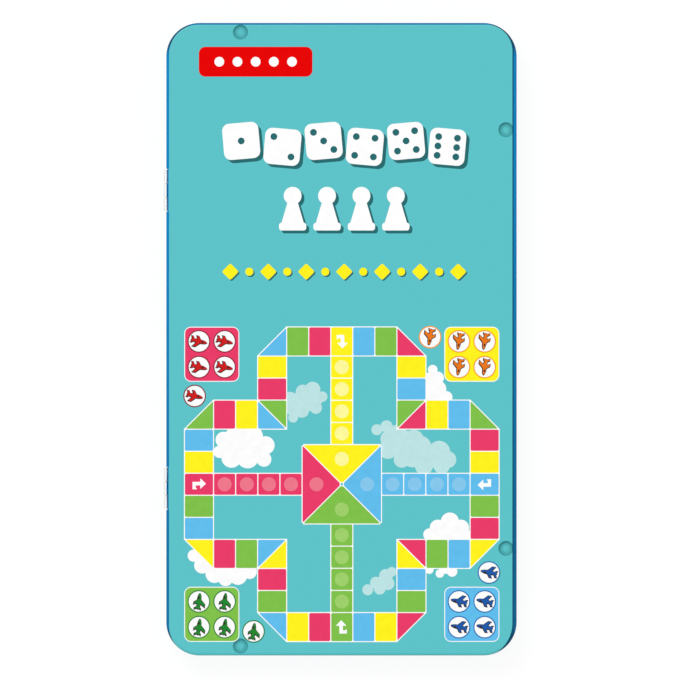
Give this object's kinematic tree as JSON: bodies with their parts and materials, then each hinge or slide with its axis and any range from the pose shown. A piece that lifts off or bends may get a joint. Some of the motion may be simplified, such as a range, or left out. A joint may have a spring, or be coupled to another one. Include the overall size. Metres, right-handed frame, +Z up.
{
  "type": "folding ludo board box",
  "caption": "Slim hinged tin that opens flat into a ludo board, with a printed lid, rolled wire hinges, magnetic counters and a die inside.",
  "frame": {"origin": "bottom centre of the closed tin's bounding box, hinge knuckles included", "axes": "+X from the hinges to the front edge, +Y along the tin to the title end, +Z up through the lid"},
  "size_m": [0.1089, 0.195, 0.014],
  "materials": {
    "printed_tin": "semi-gloss printed lacquer",
    "steel_wire": "bright drawn wire",
    "red_magnet": "satin",
    "yellow_magnet": "satin",
    "green_magnet": "satin",
    "blue_magnet": "satin",
    "ivory_plastic": "gloss"
  },
  "bodies": {
    "base": {"base_shell": "printed_tin", "hinge_pin_upper": "steel_wire", "hinge_pin_lower": "steel_wire"},
    "lid": {"lid_shell": "printed_tin"},
    "red_counter_1": {"red_counter_1": "red_magnet"},
    "red_counter_2": {"red_counter_2": "red_magnet"},
    "red_counter_3": {"red_counter_3": "red_magnet"},
    "red_counter_4": {"red_counter_4": "red_magnet"},
    "green_counter_1": {"green_counter_1": "green_magnet"},
    "green_counter_2": {"green_counter_2": "green_magnet"},
    "green_counter_3": {"green_counter_3": "green_magnet"},
    "green_counter_4": {"green_counter_4": "green_magnet"},
    "yellow_counter_1": {"yellow_counter_1": "yellow_magnet"},
    "yellow_counter_2": {"yellow_counter_2": "yellow_magnet"},
    "yellow_counter_3": {"yellow_counter_3": "yellow_magnet"},
    "yellow_counter_4": {"yellow_counter_4": "yellow_magnet"},
    "blue_counter_1": {"blue_counter_1": "blue_magnet"},
    "blue_counter_2": {"blue_counter_2": "blue_magnet"},
    "blue_counter_3": {"blue_counter_3": "blue_magnet"},
    "blue_counter_4": {"blue_counter_4": "blue_magnet"},
    "die": {"die": "ivory_plastic"}
  },
  "joints": [
    {"name": "lid_hinge", "type": "hinge", "parent": "base", "child": "lid", "pos_m": [-0.05365, 0, 0.007], "axis": [0, -1, 0], "range_deg": [0, 180]},
    {"name": "lift_red_counter_1", "type": "slide", "parent": "lid", "child": "red_counter_1", "axis": [0, 0, -1], "range_m": [0, 0.0045]},
    {"name": "lift_red_counter_2", "type": "slide", "parent": "lid", "child": "red_counter_2", "axis": [0, 0, -1], "range_m": [0, 0.0045]},
    {"name": "lift_red_counter_3", "type": "slide", "parent": "lid", "child": "red_counter_3", "axis": [0, 0, -1], "range_m": [0, 0.0045]},
    {"name": "lift_red_counter_4", "type": "slide", "parent": "lid", "child": "red_counter_4", "axis": [0, 0, -1], "range_m": [0, 0.0045]},
    {"name": "lift_green_counter_1", "type": "slide", "parent": "lid", "child": "green_counter_1", "axis": [0, 0, -1], "range_m": [0, 0.0045]},
    {"name": "lift_green_counter_2", "type": "slide", "parent": "lid", "child": "green_counter_2", "axis": [0, 0, -1], "range_m": [0, 0.0045]},
    {"name": "lift_green_counter_3", "type": "slide", "parent": "lid", "child": "green_counter_3", "axis": [0, 0, -1], "range_m": [0, 0.0045]},
    {"name": "lift_green_counter_4", "type": "slide", "parent": "lid", "child": "green_counter_4", "axis": [0, 0, -1], "range_m": [0, 0.0045]},
    {"name": "lift_yellow_counter_1", "type": "slide", "parent": "base", "child": "yellow_counter_1", "axis": [0, 0, 1], "range_m": [0, 0.0045]},
    {"name": "lift_yellow_counter_2", "type": "slide", "parent": "base", "child": "yellow_counter_2", "axis": [0, 0, 1], "range_m": [0, 0.0045]},
    {"name": "lift_yellow_counter_3", "type": "slide", "parent": "base", "child": "yellow_counter_3", "axis": [0, 0, 1], "range_m": [0, 0.0045]},
    {"name": "lift_yellow_counter_4", "type": "slide", "parent": "base", "child": "yellow_counter_4", "axis": [0, 0, 1], "range_m": [0, 0.0045]},
    {"name": "lift_blue_counter_1", "type": "slide", "parent": "base", "child": "blue_counter_1", "axis": [0, 0, 1], "range_m": [0, 0.0045]},
    {"name": "lift_blue_counter_2", "type": "slide", "parent": "base", "child": "blue_counter_2", "axis": [0, 0, 1], "range_m": [0, 0.0045]},
    {"name": "lift_blue_counter_3", "type": "slide", "parent": "base", "child": "blue_counter_3", "axis": [0, 0, 1], "range_m": [0, 0.0045]},
    {"name": "lift_blue_counter_4", "type": "slide", "parent": "base", "child": "blue_counter_4", "axis": [0, 0, 1], "range_m": [0, 0.0045]},
    {"name": "lift_die", "type": "slide", "parent": "base", "child": "die", "axis": [0, 0, 1], "range_m": [0, 0.0045]}
  ]
}
